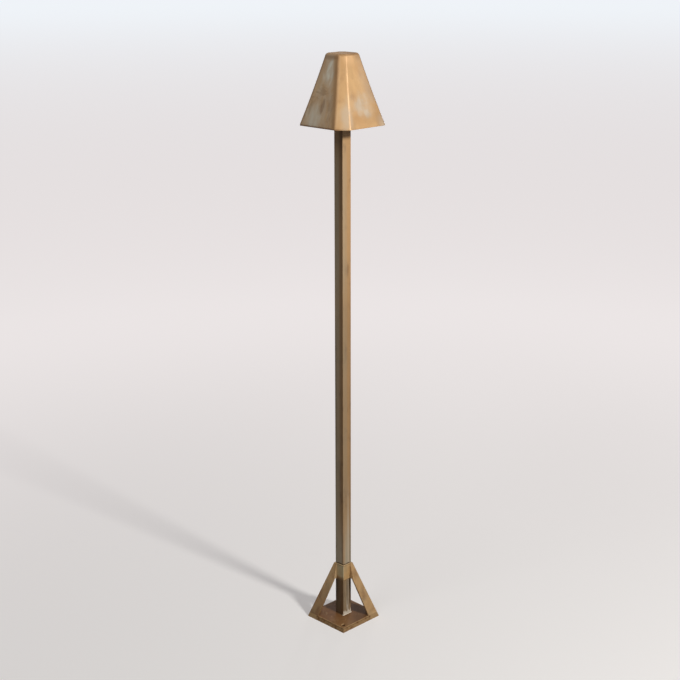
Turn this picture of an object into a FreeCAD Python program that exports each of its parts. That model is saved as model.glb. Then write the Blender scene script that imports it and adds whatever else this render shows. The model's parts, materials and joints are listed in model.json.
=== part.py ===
import FreeCAD, Part
import Sketcher
import math
import os
import re

# Path light: a faceted shade on a square stem, standing on an open pyramid base.
# Frame: +Z up, origin on the ground under the stem, X through the two legs.

# Driving dimensions, in millimetres and degrees
SIZES = {
    # square stem
    "stem_side": 20.0,
    "stem_wall": 1.6,
    "stem_edge": 0.8,
    "stem_length": 910.0,
    # base plate
    "base_width": 93.0,
    "plate_thick": 8.0,
    "plate_edge": 0.8,
    "anchor_inset": 11.5,
    "anchor_bore": 5.2,
    "anchor_sink": 1.3,
    # pyramid legs and collar
    "collar_top": 109.0,
    "collar_height": 29.5,
    "collar_wall": 1.15,
    "collar_edge": 0.4,
    "leg_width": 16.9,
    "leg_foot_width": 21.5,
    "leg_thick": 3.3,
    "leg_ledge": 0.6,
    "gusset_land": 5.2,
    # ring, spigot, bush and screws at the foot of the stem
    "ring_height": 3.6,
    "ring_foot": 2.6,
    "ring_crown": 0.7,
    "spigot_height": 25.0,
    "cable_bore": 7.0,
    "bush_outside": 9.0,
    "bush_bore": 5.5,
    "bush_lip": 0.7,
    "lip_thick": 1.5,
    "foot_screw_reach": 8.2,
    "foot_screw_bore": 2.6,
    "foot_head_width": 5.0,
    "foot_head_thick": 2.4,
    "foot_screw_grip": 12.0,
    # head of the stem
    "hub_width": 44.0,
    "hub_thick": 12.0,
    "hub_spigot": 25.0,
    "seat_depth": 5.0,
    "wire_bore": 8.0,
    # glass, gasket and lamp
    "glass_width": 30.0,
    "glass_wall": 2.0,
    "glass_height": 55.5,
    "glass_shoulder": 2.5,
    "gasket_thick": 1.5,
    "holder_long": 13.0,
    "holder_width": 21.0,
    "holder_foot": 5.0,
    "holder_neck_deep": 9.0,
    "holder_height": 13.0,
    "holder_screw_reach": 8.2,
    "holder_screw_bore": 2.5,
    "holder_screw_grip": 5.0,
    "holder_head_width": 4.5,
    "holder_head_thick": 1.8,
    "pin_pitch": 6.35,
    "pin_width": 1.2,
    "pin_length": 7.5,
    "lamp_lift": 0.3,
    "lamp_base_long": 13.0,
    "lamp_base_deep": 8.0,
    "lamp_base_height": 6.0,
    "capsule_width": 11.0,
    "capsule_height": 20.0,
    "capsule_shoulder": 2.0,
    # yoke and its screws
    "yoke_inside": 40.0,
    "yoke_strip": 12.0,
    "yoke_thick": 2.0,
    "yoke_bend": 3.0,
    "yoke_foot": 0.5,
    "yoke_height": 92.4,
    "yoke_screw_rise": 3.5,
    "yoke_screw_bore": 3.0,
    "yoke_screw_grip": 6.0,
    "yoke_head_width": 5.5,
    "yoke_head_thick": 2.2,
    # thumb screw and washer
    "thumb_width": 16.0,
    "thumb_thick": 6.0,
    "thumb_flute": 0.9,
    "thread_width": 6.35,
    "thread_grip": 8.9,
    "washer_width": 14.0,
    "washer_thick": 1.2,
    # shade
    "shade_height": 117.4,
    "shade_rim_width": 118.7,
    "shade_rim_facet": 26.2,
    "shade_top_width": 46.7,
    "shade_top_facet": 12.8,
    "shade_wall": 2.4,
    "shade_roof": 3.0,
    "shade_round": 3.0,
    "boss_width": 16.0,
    "boss_length": 13.0,
    "boss_bore_depth": 10.2,
    # leads and splices inside the stem
    "wire_reach": 2.6,
    "wire_width": 2.0,
    "splice_width": 4.4,
    "splice_length": 22.0,
    "splice_rise": 40.0,
    # driver slot in the screws of the foot and the lamp holder
    "slot_width": 0.8,
    "slot_depth": 0.9,
    # clearances
    "slide_gap": 0.05,
    "face_gap": 0.05,
    "bore_gap": 0.3,
    "thread_gap": 0.05,
}

# Counts that shape the pieces
THUMB_FLUTES = 12

# Turns: the square pieces stand an eighth of a turn round, with a corner to the front
HALF_TURN = 180.0
QUARTER_TURN = HALF_TURN / 2
EIGHTH_TURN = HALF_TURN / 4

# Tests on faces and edges
NEAR = 1e-3

doc = FreeCAD.newDocument("PathLight")
sheet = doc.addObject("Spreadsheet::Sheet", "Sizes")
for row, (alias, value) in enumerate(SIZES.items(), start=1):
    sheet.set(f"A{row}", alias)
    sheet.set(f"B{row}", str(value))
    sheet.setAlias(f"B{row}", alias)
doc.recompute()

nodes = []


# Helpers for expressions, sketches and features

def bound(text):
    """The text with every size in it written as a cell of the sheet."""
    return re.sub(r"[a-z_]+", lambda m: f"Sizes.{m[0]}" if m[0] in SIZES else m[0], text)


def cell(alias):
    """The number in one cell of the sheet."""
    return float(sheet.get(alias))


def new_body(label, height="0", turn=0.0):
    """A part design body named as its node, turned about Z and lifted to a height."""
    body = doc.addObject("PartDesign::Body", label)
    body.Label = label
    body.Placement = FreeCAD.Placement(
        FreeCAD.Vector(), FreeCAD.Rotation(FreeCAD.Vector(0, 0, 1), turn))
    body.setExpression("Placement.Base.z", bound(height))
    nodes.append(body)
    return body


def origin_plane(body, role):
    return next(f for f in body.Origin.OriginFeatures if f.Role == role)


def new_sketch(body, name, role="XY_Plane", lift="0"):
    """A sketch on one of the body's own origin planes, moved along the plane's normal."""
    sketch = body.newObject("Sketcher::SketchObject", f"{body.Label}_{name}")
    sketch.AttachmentSupport = (origin_plane(body, role), [""])
    sketch.MapMode = "FlatFace"
    sketch.setExpression("AttachmentOffset.Base.z", bound(lift))
    return sketch


def pin_point(sketch, edge, end, across, up):
    """Tie one point of the sketch to the origin by its two distances."""
    axes = (("DistanceX", across, -2), ("DistanceY", up, -1))
    for kind, distance, axis in axes:
        if distance == "0":
            sketch.addConstraint(Sketcher.Constraint("PointOnObject", edge, end, axis))
        else:
            index = sketch.addConstraint(Sketcher.Constraint(kind, -1, 1, edge, end, 1.0))
            sketch.setExpression(f"Constraints[{index}]", bound(distance))


def add_outline(sketch, corners):
    """A closed outline of straight lines through corners given as expressions."""
    count = len(corners)
    angles = [2 * math.pi * i / count for i in range(count)]
    points = [FreeCAD.Vector(math.cos(a), math.sin(a), 0) for a in angles]
    lines = [Part.LineSegment(points[i], points[(i + 1) % count]) for i in range(count)]
    edges = sketch.addGeometry(lines, False)
    for i in range(count):
        after = edges[(i + 1) % count]
        sketch.addConstraint(Sketcher.Constraint("Coincident", edges[i], 2, after, 1))
    for edge, (across, up) in zip(edges, corners):
        pin_point(sketch, edge, 1, across, up)


def add_circle(sketch, width, across="0", up="0"):
    """A circle of a given diameter about a point."""
    circle = Part.Circle(FreeCAD.Vector(), FreeCAD.Vector(0, 0, 1), 1.0)
    edge = sketch.addGeometry(circle, False)
    pin_point(sketch, edge, 3, across, up)
    index = sketch.addConstraint(Sketcher.Constraint("Diameter", edge, 1.0))
    sketch.setExpression(f"Constraints[{index}]", bound(width))


def rectangle(length, depth):
    """Corners of a rectangle about the origin."""
    x = f"({length}) / 2"
    y = f"({depth}) / 2"
    return [(f"-{x}", f"-{y}"), (x, f"-{y}"), (x, y), (f"-{x}", y)]


def square(side):
    """Corners of a square about the origin."""
    return rectangle(side, side)


def diamond(side):
    """Corners of the same square, standing on its corner."""
    reach = f"({side}) / sqrt(2)"
    return [(f"-{reach}", "0"), ("0", f"-{reach}"), (reach, "0"), ("0", reach)]


def add_pad(body, sketch, length, down=False, both=False):
    pad = body.newObject("PartDesign::Pad", f"{sketch.Label}_pad")
    pad.Profile = sketch
    pad.Reversed = down
    if both:
        pad.SideType = "Symmetric"
    pad.setExpression("Length", bound(length))
    return pad


def add_pocket(body, sketch, depth=None, along=False):
    """A cut against the sketch's normal, or along it; right through where no depth is given."""
    doc.recompute()
    before = body.Shape.Volume
    pocket = body.newObject("PartDesign::Pocket", f"{sketch.Label}_cut")
    pocket.Profile = sketch
    pocket.Reversed = along
    if depth is None:
        pocket.Type = "ThroughAll"
    else:
        pocket.setExpression("Length", bound(depth))
    doc.recompute()
    if body.Shape.Volume >= before:
        raise RuntimeError(f"{pocket.Label} cuts nothing")
    return pocket


def add_revolution(body, sketch):
    turned = body.newObject("PartDesign::Revolution", f"{sketch.Label}_turned")
    turned.Profile = sketch
    turned.ReferenceAxis = (sketch, ["V_Axis"])
    turned.Angle = 2 * HALF_TURN
    return turned


def add_draft(body, angle, wanted, outwards=False):
    """Lean the faces for which wanted(face, normal) is true, from the body's XY plane upwards."""
    doc.recompute()
    base = body.Tip
    faces = enumerate(base.Shape.Faces, start=1)
    names = [f"Face{i}" for i, face in faces if wanted(face, face.normalAt(0, 0))]
    draft = body.newObject("PartDesign::Draft", f"{body.Label}_draft")
    draft.Base = (base, names)
    draft.NeutralPlane = (origin_plane(body, "XY_Plane"), [""])
    draft.setExpression("Angle", bound(angle))
    draft.Reversed = outwards
    return draft


def add_frustum(name, lower, upper, height, turn=0.0):
    """A square frustum standing on the ground plane, turned about Z."""
    frustum = doc.addObject("Part::Wedge", name)
    for axis in ("X", "Z"):
        frustum.setExpression(f"{axis}min", bound(f"-({lower}) / 2"))
        frustum.setExpression(f"{axis}max", bound(f"({lower}) / 2"))
        frustum.setExpression(f"{axis}2min", bound(f"-({upper}) / 2"))
        frustum.setExpression(f"{axis}2max", bound(f"({upper}) / 2"))
    frustum.Ymin = 0
    frustum.setExpression("Ymax", bound(height))
    upright = FreeCAD.Rotation(FreeCAD.Vector(1, 0, 0), QUARTER_TURN)
    about_z = FreeCAD.Rotation(FreeCAD.Vector(0, 0, 1), turn)
    frustum.Placement.Rotation = about_z * upright
    return frustum


def add_faceted_frustum(name, flats, facets, height):
    """Two square frusta, a corner apart, in common: flats and facets are (lower, upper) widths."""
    faceted = doc.addObject("Part::MultiCommon", name)
    faceted.Shapes = [add_frustum(f"{name}_flats", *flats, height),
                      add_frustum(f"{name}_facets", *facets, height, EIGHTH_TURN)]
    return faceted


def dress_edges(body, kind, size, wanted):
    """A fillet or chamfer on those edges of the body for which wanted(edge, box) is true."""
    doc.recompute()
    base = body.Tip
    box = base.Shape.BoundBox
    names = [f"Edge{i}" for i, edge in enumerate(base.Shape.Edges, start=1) if wanted(edge, box)]
    dressed = body.newObject(f"PartDesign::{kind}", f"{body.Label}_{kind.lower()}")
    dressed.Base = (base, names)
    dressed.setExpression("Radius" if kind == "Fillet" else "Size", bound(size))
    return dressed


def level(edge, height):
    """True where the whole edge lies at one height."""
    box = edge.BoundBox
    return abs(box.ZMin - height) < NEAR and abs(box.ZMax - height) < NEAR


def stand(solid, length, height, across, role):
    """Give a primitive its length and place, with its axis along Z, or along X if its role says so."""
    solid.setExpression("Height", bound(length))
    if role == "X":
        z_to_x = FreeCAD.Rotation(FreeCAD.Vector(1, 1, 1), 2 * HALF_TURN / 3)
        solid.Placement.Rotation = z_to_x
    solid.setExpression("Placement.Base.x", bound(across))
    solid.setExpression("Placement.Base.z", bound(height))
    return solid


def add_cylinder(name, width, length, height, across="0", role="Z"):
    rod = doc.addObject("Part::Cylinder", name)
    rod.setExpression("Radius", bound(f"({width}) / 2"))
    return stand(rod, length, height, across, role)


def add_hexagon(name, width, length, height, across="0", role="Z"):
    """A six-sided bar of a given width across its flats."""
    bar = doc.addObject("Part::Prism", name)
    bar.Polygon = 6
    bar.setExpression("Circumradius", bound(f"({width}) / sqrt(3)"))
    return stand(bar, length, height, across, role)


def mirrored_pair(label, piece, turn=0.0):
    """The piece and its mirror image across the YZ plane, as one node of two solids."""
    twin = doc.addObject("Part::Mirroring", f"{label}_twin")
    twin.Source = piece
    twin.Normal = FreeCAD.Vector(1, 0, 0)
    pair = doc.addObject("Part::Compound", label)
    pair.Label = label
    pair.Links = [piece, twin]
    pair.Placement.Rotation = FreeCAD.Rotation(FreeCAD.Vector(0, 0, 1), turn)
    nodes.append(pair)
    return pair


def add_slot(name, lengths, corner):
    """A block the size of a driver slot: lengths along X, Y and Z, and its least corner."""
    slot = doc.addObject("Part::Box", name)
    for size, length in zip(("Length", "Width", "Height"), lengths):
        slot.setExpression(size, bound(length))
    for axis, place in zip("xyz", corner):
        slot.setExpression(f"Placement.Base.{axis}", bound(place))
    return slot


def screw_pair(label, shank, head, slot=None, turn=0.0):
    """A pair of screws, each a shank joined to a head, with a driver slot if one is given."""
    screw = doc.addObject("Part::Fuse", f"{label}_blank")
    screw.Base = shank
    screw.Tool = head
    if slot is not None:
        blank = screw
        screw = doc.addObject("Part::Cut", f"{label}_slotted")
        screw.Base = blank
        screw.Tool = slot
    return mirrored_pair(label, screw, turn)


# Heights and slopes that several pieces share
stem_top = "(plate_thick + stem_length)"
collar_side = "(stem_side + 2 * slide_gap + 2 * collar_wall)"
collar_foot = "(collar_top - collar_height)"
half_at_top = f"({collar_side} / 2 + leg_ledge)"
pyramid_slope = f"((base_width / 2 - {half_at_top}) / collar_top)"
stem_bore = "(stem_side - 2 * stem_wall)"
seat_floor = f"({stem_top} + hub_thick - seat_depth)"
glass_foot = f"({seat_floor} + gasket_thick)"
holder_foot_z = f"({stem_top} + hub_thick)"
lamp_foot = f"({holder_foot_z} + holder_height + lamp_lift)"
web_top = f"({stem_top} + yoke_foot + yoke_height)"
washer_foot = f"({web_top} - yoke_thick - face_gap - washer_thick)"
thumb_foot = f"({washer_foot} - face_gap - thumb_thick)"
boss_foot = "(shade_height - shade_roof - boss_length)"
shade_foot = f"({web_top} + face_gap - {boss_foot})"


def half_side(height):
    """Half the side of the base pyramid at a height."""
    return f"(base_width / 2 - {pyramid_slope} * ({height}))"


# Base plate: its sloping sides carry on the faces of the pyramid
def build_base_plate():
    body = new_body("base_plate", turn=EIGHTH_TURN)
    outline = new_sketch(body, "outline")
    add_outline(outline, square("base_width"))
    add_pad(body, outline, "plate_thick")
    add_draft(body, f"atan({pyramid_slope})", lambda f, n: abs(n.z) < NEAR)
    dress_edges(body, "Chamfer", "plate_edge", lambda e, box: level(e, box.ZMax))
    anchors = new_sketch(body, "anchors")
    reach = "(base_width / 2 - anchor_inset)"
    add_circle(anchors, "anchor_bore", f"-{reach}", f"-{reach}")
    add_circle(anchors, "anchor_bore", reach, reach)
    add_pocket(body, anchors, along=True)
    dress_edges(body, "Chamfer", "anchor_sink",
                lambda e, box: level(e, box.ZMax) and e.isClosed())
    screw_reach = "foot_screw_reach / sqrt(2)"
    for name, width, depth in (
            ("screw_holes", "foot_screw_bore + 2 * bore_gap", None),
            ("head_holes", "foot_head_width + 2 * bore_gap", "foot_head_thick + bore_gap")):
        holes = new_sketch(body, name)
        add_circle(holes, width, f"-{screw_reach}", screw_reach)
        add_circle(holes, width, screw_reach, f"-{screw_reach}")
        add_pocket(body, holes, depth, along=True)
    outlet = new_sketch(body, "outlet")
    add_circle(outlet, "bush_outside - 2 * bush_lip")
    add_pocket(body, outlet, along=True)
    bush_seat = new_sketch(body, "bush_seat", lift="lip_thick")
    add_circle(bush_seat, "bush_outside")
    add_pocket(body, bush_seat, along=True)
    return body


# Legs: angle section along the left and right edges of the pyramid, widening
# to the plate, with a solid head that slopes in to the collar
def flange_edge(face, normal):
    """True for the two narrow faces along the free edges of a leg's angle section."""
    narrow = face.Area < 2 * cell("leg_thick") * face.BoundBox.ZLength
    return face.CenterOfMass.z < 0 and abs(normal.z) < math.sin(math.pi / 6) and narrow


def build_base_leg(label, turn):
    body = new_body(label, collar_foot, turn)
    a = half_side(collar_foot)
    c = f"{collar_side} / 2"
    land = f"({c} - gusset_land)"
    side = f"({a} - leg_width)"
    drop = f"({collar_foot} - plate_thick)"
    head = new_sketch(body, "head")
    add_outline(head, [
        (f"-{a}", a), (f"-{a}", side), (f"-{c}", land),
        (f"-{c}", c), (f"-{land}", c), (f"-{side}", a)])
    add_pad(body, head, "collar_height")
    add_draft(body, f"atan({pyramid_slope})",
              lambda f, n: n.x < NEAR - 1 or n.y > 1 - NEAR)
    angle = new_sketch(body, "angle")
    add_outline(angle, [
        (f"-{a}", a), (f"-{a}", side), (f"-{a} + leg_thick", side),
        (f"-{a} + leg_thick", f"{a} - leg_thick"), (f"-{side}", f"{a} - leg_thick"),
        (f"-{side}", a)])
    leg = add_pad(body, angle, drop)
    leg.UseCustomVector = True
    leg.AlongSketchNormal = True
    leg.setExpression("Direction.x", bound(f"-{pyramid_slope}"))
    leg.setExpression("Direction.y", bound(pyramid_slope))
    leg.Direction.z = -1.0
    taper = f"(leg_foot_width - leg_width) / {drop}"
    add_draft(body, f"atan({pyramid_slope} - {taper})", flange_edge, outwards=True)
    return body


# Collar: square sleeve round the stem
def build_base_collar():
    body = new_body("base_collar", collar_foot, EIGHTH_TURN)
    outline = new_sketch(body, "outline")
    add_outline(outline, square(collar_side))
    add_outline(outline, square("stem_side + 2 * slide_gap"))
    add_pad(body, outline, "collar_height")
    dress_edges(body, "Chamfer", "collar_edge",
                lambda e, box: level(e, box.ZMax) and e.Length > box.XLength - NEAR)
    return body


# Brazed ring: a sloping fillet round the foot of the stem
def build_foot_ring():
    body = new_body("foot_ring", "plate_thick", EIGHTH_TURN)
    inside = "stem_side + 2 * slide_gap"
    outline = new_sketch(body, "outline")
    add_outline(outline, square(f"{inside} + 2 * ring_foot"))
    add_pad(body, outline, "ring_height")
    add_draft(body, "atan((ring_foot - ring_crown) / ring_height)",
              lambda f, n: abs(n.z) < NEAR)
    opening = new_sketch(body, "opening")
    add_outline(opening, square(inside))
    add_pocket(body, opening, along=True)
    return body


# Spigot: square block on the plate, inside the foot of the stem
def build_foot_spigot():
    body = new_body("foot_spigot", "plate_thick", EIGHTH_TURN)
    outline = new_sketch(body, "outline")
    add_outline(outline, square(f"{stem_bore} - 2 * slide_gap"))
    add_circle(outline, "cable_bore")
    add_pad(body, outline, "spigot_height")
    reach = "foot_screw_reach / sqrt(2)"
    holes = new_sketch(body, "tapped_holes")
    add_circle(holes, "foot_screw_bore + 2 * thread_gap", f"-{reach}", reach)
    add_circle(holes, "foot_screw_bore + 2 * thread_gap", reach, f"-{reach}")
    add_pocket(body, holes, "foot_screw_grip + bore_gap", along=True)
    return body


# Screws that hold the spigot down, from under the plate
def build_foot_screws():
    head = add_cylinder("foot_screw_head", "foot_head_width", "foot_head_thick",
                        "bore_gap", "foot_screw_reach")
    shank_foot = "(bore_gap + foot_head_thick)"
    shank = add_cylinder("foot_screw_shank", "foot_screw_bore",
                         f"plate_thick + foot_screw_grip - {shank_foot}",
                         shank_foot, "foot_screw_reach")
    slot = add_slot("foot_screw_slot", ("slot_width", "2 * foot_head_width", "slot_depth"),
                    ("foot_screw_reach - slot_width / 2", "-foot_head_width", "bore_gap"))
    return screw_pair("foot_screws", shank, head, slot)


# Bush: rubber outlet for the supply cable, between the plate's lip and the spigot
def build_cable_bush():
    body = new_body("cable_bush", "lip_thick")
    ring = new_sketch(body, "ring")
    add_circle(ring, "bush_outside - 2 * slide_gap")
    add_circle(ring, "bush_bore")
    add_pad(body, ring, "plate_thick - lip_thick")
    return body


# Stem: square tube with eased outer corners
def build_stem():
    body = new_body("stem", "plate_thick", EIGHTH_TURN)
    outline = new_sketch(body, "outline")
    add_outline(outline, square("stem_side"))
    add_pad(body, outline, "stem_length")
    dress_edges(body, "Fillet", "stem_edge", lambda e, box: e.BoundBox.ZLength > box.ZLength - NEAR)
    bore = new_sketch(body, "bore")
    add_outline(bore, square(stem_bore))
    add_pocket(body, bore, along=True)
    return body


# Head: hub with a shelf for the glass, flats for the yoke and a spigot in the stem
def build_stem_head():
    body = new_body("stem_head", stem_top)
    middle = "(glass_width / 2 - glass_wall - bore_gap)"
    shelf = "(hub_thick - seat_depth)"
    section = new_sketch(body, "section", "XZ_Plane")
    add_outline(section, [
        ("wire_bore / 2", "0"),
        ("hub_width / 2", "0"),
        ("hub_width / 2", shelf),
        (middle, shelf),
        (middle, "hub_thick"),
        ("wire_bore / 2", "hub_thick")])
    add_revolution(body, section)
    spigot = new_sketch(body, "spigot")
    add_outline(spigot, diamond(f"{stem_bore} - 2 * slide_gap"))
    add_circle(spigot, "wire_bore")
    add_pad(body, spigot, "hub_spigot", down=True)
    flats = new_sketch(body, "flats")
    for side in ("", "-"):
        near = f"{side}(yoke_inside / 2)"
        far = f"{side}hub_width"
        add_outline(flats, [(near, "-hub_width"), (far, "-hub_width"),
                            (far, "hub_width"), (near, "hub_width")])
    add_pocket(body, flats, "hub_thick", along=True)
    for name, side, inward in (("right_hole", "", False), ("left_hole", "-", True)):
        hole = new_sketch(body, name, "YZ_Plane", f"{side}yoke_inside / 2")
        add_circle(hole, "yoke_screw_bore + 2 * thread_gap", up="yoke_screw_rise")
        add_pocket(body, hole, "yoke_screw_grip + bore_gap", along=inward)
    holder_holes = new_sketch(body, "holder_holes", lift="hub_thick")
    for side in ("", "-"):
        add_circle(holder_holes, "holder_screw_bore + 2 * thread_gap",
                   up=f"{side}holder_screw_reach")
    add_pocket(body, holder_holes, "holder_screw_grip + bore_gap")
    return body


# Glass: closed tube over the lamp, standing on a flat gasket
def build_lamp_glass():
    body = new_body("lamp_glass", glass_foot)
    outside = "glass_width / 2"
    inside = "(glass_width / 2 - glass_wall)"
    under = "(glass_height - glass_wall)"
    section = new_sketch(body, "section", "XZ_Plane")
    add_outline(section, [
        (inside, "0"), (outside, "0"), (outside, "glass_height - glass_shoulder"),
        (f"{outside} - glass_shoulder", "glass_height"), ("0", "glass_height"),
        ("0", under), (inside, under)])
    add_revolution(body, section)
    return body


def build_glass_gasket():
    body = new_body("glass_gasket", seat_floor)
    ring = new_sketch(body, "ring")
    add_circle(ring, "glass_width + bore_gap")
    add_circle(ring, "glass_width - 2 * glass_wall - bore_gap")
    add_pad(body, ring, "gasket_thick")
    return body


# Lamp holder: ceramic foot and neck, with two sockets for the lamp's pins
def build_lamp_holder():
    body = new_body("lamp_holder", holder_foot_z)
    foot = new_sketch(body, "foot")
    add_outline(foot, rectangle("holder_long", "holder_width"))
    add_pad(body, foot, "holder_foot")
    neck = new_sketch(body, "neck")
    add_outline(neck, rectangle("holder_long", "holder_neck_deep"))
    add_pad(body, neck, "holder_height")
    sockets = new_sketch(body, "sockets", lift="holder_height")
    screw_holes = new_sketch(body, "screw_holes")
    for side in ("", "-"):
        add_circle(sockets, "pin_width + 2 * slide_gap", f"{side}pin_pitch / 2")
        add_circle(screw_holes, "holder_screw_bore + 2 * bore_gap",
                   up=f"{side}holder_screw_reach")
    add_pocket(body, sockets, "pin_length + bore_gap")
    add_pocket(body, screw_holes, "holder_foot", along=True)
    return body


def build_lamp_holder_screws():
    seat = f"({holder_foot_z} + holder_foot)"
    head = add_cylinder("holder_screw_head", "holder_head_width", "holder_head_thick",
                        seat, "holder_screw_reach")
    shank = add_cylinder("holder_screw_shank", "holder_screw_bore",
                         "holder_foot + holder_screw_grip",
                         f"{seat} - holder_foot - holder_screw_grip", "holder_screw_reach")
    slot = add_slot("holder_screw_slot", ("slot_width", "2 * holder_head_width", "slot_depth"),
                    ("holder_screw_reach - slot_width / 2", "-holder_head_width",
                     f"{seat} + holder_head_thick - slot_depth"))
    return screw_pair("lamp_holder_screws", shank, head, slot, QUARTER_TURN)


# Lamp: plug-in capsule on a flat base with two pins
def build_lamp_base():
    body = new_body("lamp_base", lamp_foot)
    outline = new_sketch(body, "outline")
    add_outline(outline, rectangle("lamp_base_long", "lamp_base_deep"))
    add_pad(body, outline, "lamp_base_height")
    dress_edges(body, "Fillet", "lamp_base_deep / 4",
                lambda e, box: e.BoundBox.ZLength > box.ZLength - NEAR)
    return body


def build_lamp_capsule():
    body = new_body("lamp_capsule", f"{lamp_foot} + lamp_base_height")
    section = new_sketch(body, "section", "XZ_Plane")
    wall = "capsule_width / 2"
    add_outline(section, [
        ("0", "0"), (wall, "0"), (wall, "capsule_height - capsule_shoulder"),
        (f"{wall} - capsule_shoulder", "capsule_height"), ("0", "capsule_height")])
    add_revolution(body, section)
    return body


def build_lamp_pins():
    pin = add_cylinder("lamp_pin", "pin_width", "pin_length + lamp_lift",
                       f"{lamp_foot} - lamp_lift - pin_length", "pin_pitch / 2")
    return mirrored_pair("lamp_pins", pin)


# Yoke: strip bent over the lamp, screwed to the flats of the head
def build_yoke():
    body = new_body("yoke", f"{stem_top} + yoke_foot")
    inside = "(yoke_inside / 2)"
    outside = "(yoke_inside / 2 + yoke_thick)"
    under = "(yoke_height - yoke_thick)"
    section = new_sketch(body, "section", "XZ_Plane")
    add_outline(section, [
        (f"-{outside}", "0"), (f"-{inside}", "0"), (f"-{inside}", under), (inside, under),
        (inside, "0"), (outside, "0"), (outside, "yoke_height"), (f"-{outside}", "yoke_height")])
    add_pad(body, section, "yoke_strip", both=True)

    def across_strip(edge, height):
        return level(edge, height) and edge.BoundBox.YLength > cell("yoke_strip") - NEAR

    dress_edges(body, "Fillet", "yoke_bend + yoke_thick",
                lambda e, box: across_strip(e, box.ZMax))
    dress_edges(body, "Fillet", "yoke_bend",
                lambda e, box: across_strip(e, box.ZMax - cell("yoke_thick")))
    web_hole = new_sketch(body, "web_hole", lift="yoke_height")
    add_circle(web_hole, "thread_width + 2 * bore_gap")
    add_pocket(body, web_hole, "yoke_thick")
    for name, side, inward in (("right_hole", "", False), ("left_hole", "-", True)):
        leg_hole = new_sketch(body, name, "YZ_Plane", f"{side}{outside}")
        add_circle(leg_hole, "yoke_screw_bore + 2 * bore_gap", up="yoke_screw_rise - yoke_foot")
        add_pocket(body, leg_hole, "yoke_thick", along=inward)
    return body


def build_yoke_screws():
    seat = "(yoke_inside / 2 + yoke_thick)"
    rise = f"{stem_top} + yoke_screw_rise"
    head = add_hexagon("yoke_screw_head", "yoke_head_width", "yoke_head_thick", rise, seat, "X")
    shank = add_cylinder("yoke_screw_shank", "yoke_screw_bore", "yoke_thick + yoke_screw_grip",
                         rise, f"{seat} - yoke_thick - yoke_screw_grip", "X")
    return screw_pair("yoke_screws", shank, head)


# Thumb screw: fluted head under the yoke, thread in the shade's boss
def build_shade_screw():
    body = new_body("shade_screw", thumb_foot)
    tip = "(thumb_thick + washer_thick + yoke_thick + 3 * face_gap + thread_grip)"
    section = new_sketch(body, "section", "XZ_Plane")
    add_outline(section, [
        ("0", "0"), ("thumb_width / 2", "0"), ("thumb_width / 2", "thumb_thick"),
        ("thread_width / 2", "thumb_thick"), ("thread_width / 2", tip), ("0", tip)])
    add_revolution(body, section)
    flute = new_sketch(body, "flute")
    add_outline(flute, [
        ("thumb_width / 2 - thumb_flute", "0"),
        ("thumb_width / 2 + thumb_flute", "-2 * thumb_flute"),
        ("thumb_width / 2 + thumb_flute", "2 * thumb_flute")])
    cut = add_pocket(body, flute, "thumb_thick", along=True)
    flutes = body.newObject("PartDesign::PolarPattern", "shade_screw_flutes")
    flutes.Originals = [cut]
    flutes.Axis = (section, ["V_Axis"])
    flutes.Angle = 2 * HALF_TURN
    flutes.Occurrences = THUMB_FLUTES
    body.Tip = flutes
    return body


def build_screw_washer():
    body = new_body("screw_washer", washer_foot)
    ring = new_sketch(body, "ring")
    add_circle(ring, "washer_width")
    add_circle(ring, "thread_width + 2 * bore_gap")
    add_pad(body, ring, "washer_thick")
    return body


# Shade: hollow frustum with a facet on each corner, eased edges and an inner boss
def build_shade():
    rim_across = "(shade_rim_width * sqrt(2) - shade_rim_facet)"
    top_across = "(shade_top_width * sqrt(2) - shade_top_facet)"
    roof_share = "(shade_roof / shade_height)"

    def hollow(rim, top):
        """Widths of the cavity at the rim and under the roof, one wall in from the outside."""
        under_roof = f"({top} + ({rim} - {top}) * {roof_share})"
        return f"{rim} - 2 * shade_wall", f"{under_roof} - 2 * shade_wall"

    shell = doc.addObject("Part::Cut", "shade_shell")
    shell.Base = add_faceted_frustum(
        "shade_outside", ("shade_rim_width", "shade_top_width"), (rim_across, top_across),
        "shade_height")
    shell.Tool = add_faceted_frustum(
        "shade_hollow", hollow("shade_rim_width", "shade_top_width"),
        hollow(rim_across, top_across), "shade_height - shade_roof")
    body = new_body("shade", shade_foot, EIGHTH_TURN)
    body.BaseFeature = shell
    dress_edges(body, "Fillet", "shade_round",
                lambda e, box: max(v.Z for v in e.Vertexes) > box.ZMax - NEAR)
    boss = new_sketch(body, "boss", lift=boss_foot)
    add_circle(boss, "boss_width")
    add_pad(body, boss, "boss_length + shade_roof / 2")
    bore = new_sketch(body, "bore", lift=boss_foot)
    add_circle(bore, "thread_width + 2 * thread_gap")
    add_pocket(body, bore, "boss_bore_depth", along=True)
    return body


# Leads: two straight wires down the stem, each ending in a crimped splice
def build_leads():
    splice_top = "(splice_rise + splice_length)"
    for label, side in (("lead_wire_left", "-"), ("lead_wire_right", "")):
        wire = add_cylinder(label, "wire_width", f"{holder_foot_z} - {splice_top}",
                            splice_top, f"{side}wire_reach")
        wire.Label = label
        nodes.append(wire)
    splice = add_cylinder("splice_barrel", "splice_width", "splice_length",
                          "splice_rise", "wire_reach")
    return mirrored_pair("wire_splices", splice)


build_base_plate()
build_base_leg("base_leg_left", EIGHTH_TURN)
build_base_leg("base_leg_right", EIGHTH_TURN + HALF_TURN)
build_base_collar()
build_foot_ring()
build_foot_spigot()
build_foot_screws()
build_cable_bush()
build_stem()
build_stem_head()
build_lamp_glass()
build_glass_gasket()
build_lamp_holder()
build_lamp_holder_screws()
build_lamp_base()
build_lamp_capsule()
build_lamp_pins()
build_yoke()
build_yoke_screws()
build_shade_screw()
build_screw_washer()
build_shade()
build_leads()
doc.recompute()

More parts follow.
